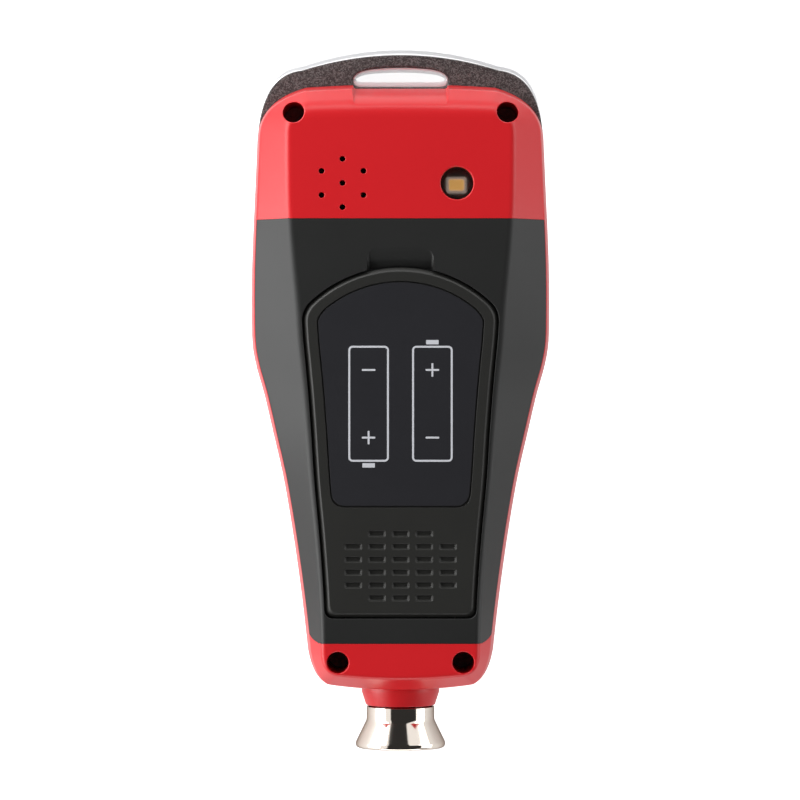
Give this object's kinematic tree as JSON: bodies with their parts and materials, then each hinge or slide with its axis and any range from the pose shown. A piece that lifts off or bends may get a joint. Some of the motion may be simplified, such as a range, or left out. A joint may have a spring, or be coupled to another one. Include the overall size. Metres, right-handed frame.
{
  "type": "coating thickness gauge",
  "caption": "Handheld coating thickness gauge with a waisted case, battery door on the back, keypad and display on the front, lanyard lug and a sprung contact probe.",
  "frame": {"origin": "bottom centre of the bounding box, on the plane the front bezel lies on", "axes": "+X across the case, +Y from the probe to the lanyard lug, +Z out of the flat back"},
  "size_m": [0.0632, 0.1494, 0.031],
  "materials": {
    "red_plastic": "satin moulded red plastic",
    "dark_grip": "matt soft-touch skin",
    "dark_plastic": "fine-grained dark plastic",
    "label_film": "matt printed film, left plain",
    "charcoal_plastic": "charcoal with metallic fleck",
    "silver_plastic": "silver-painted plastic",
    "window_black": "smoked acrylic window",
    "display_grey": "display glass",
    "white_plastic": "white moulded holder",
    "key_red": "red key cap",
    "key_dark": "dark key cap",
    "board_green": "solder-masked board",
    "black_plastic": "black plastic",
    "steel": "zinc-plated steel",
    "clear_lens": "clear moulded lens",
    "led_body": "white package with yellow phosphor",
    "cell_wrap": "plain printed-film wrap on a steel can",
    "contact_nickel": "nickel-plated spring steel",
    "probe_nickel": "polished nickel plate",
    "tip_metal": "polished hard metal",
    "coil_copper": "enamelled copper winding"
  },
  "bodies": {
    "case": {"rear_shell": "red_plastic", "rear_grip": "dark_grip", "front_shell": "charcoal_plastic", "front_bezel": "silver_plastic", "display_window": "window_black", "display_panel": "display_grey", "display_holder": "white_plastic", "main_board": "board_green", "tact_switches": "black_plastic", "board_screws": "steel", "case_screws": "steel", "buzzer": "black_plastic", "torch_lens": "clear_lens", "torch_tube": "black_plastic", "torch_led": "led_body", "torch_board": "board_green", "battery_cell_a": "cell_wrap", "battery_cell_b": "cell_wrap", "battery_springs": "contact_nickel", "battery_contacts": "contact_nickel", "probe_sleeve": "probe_nickel", "probe_nut": "steel", "probe_spring": "steel", "probe_cap": "black_plastic"},
    "door": {"battery_door": "dark_plastic", "battery_door_label": "label_film"},
    "power": {"key_power": "key_red"},
    "menu": {"key_menu": "key_dark"},
    "zero": {"key_zero": "key_dark"},
    "up": {"key_up": "key_dark"},
    "down": {"key_down": "key_dark"},
    "plunger": {"probe_plunger": "steel", "probe_tip": "tip_metal", "probe_coil": "coil_copper"}
  },
  "joints": [
    {"name": "battery_door_swing", "type": "hinge", "parent": "case", "child": "door", "pos_m": [0, -0.0458, 0.031], "axis": [1, 0, 0], "range_deg": [0, 70]},
    {"name": "key_power_press", "type": "slide", "parent": "case", "child": "power", "axis": [0, 0, 1], "range_m": [0, 0.0008], "stiffness_N_per_m": 500, "springref_m": -0.0012},
    {"name": "key_menu_press", "type": "slide", "parent": "case", "child": "menu", "axis": [0, 0, 1], "range_m": [0, 0.0008], "stiffness_N_per_m": 500, "springref_m": -0.0012},
    {"name": "key_zero_press", "type": "slide", "parent": "case", "child": "zero", "axis": [0, 0, 1], "range_m": [0, 0.0008], "stiffness_N_per_m": 500, "springref_m": -0.0012},
    {"name": "key_up_press", "type": "slide", "parent": "case", "child": "up", "axis": [0, 0, 1], "range_m": [0, 0.0008], "stiffness_N_per_m": 500, "springref_m": -0.0012},
    {"name": "key_down_press", "type": "slide", "parent": "case", "child": "down", "axis": [0, 0, 1], "range_m": [0, 0.0008], "stiffness_N_per_m": 500, "springref_m": -0.0012},
    {"name": "probe_press", "type": "slide", "parent": "case", "child": "plunger", "axis": [0, 1, 0], "range_m": [0, 0.001], "stiffness_N_per_m": 600, "springref_m": -0.002, "deforming": ["probe_spring"]}
  ]
}
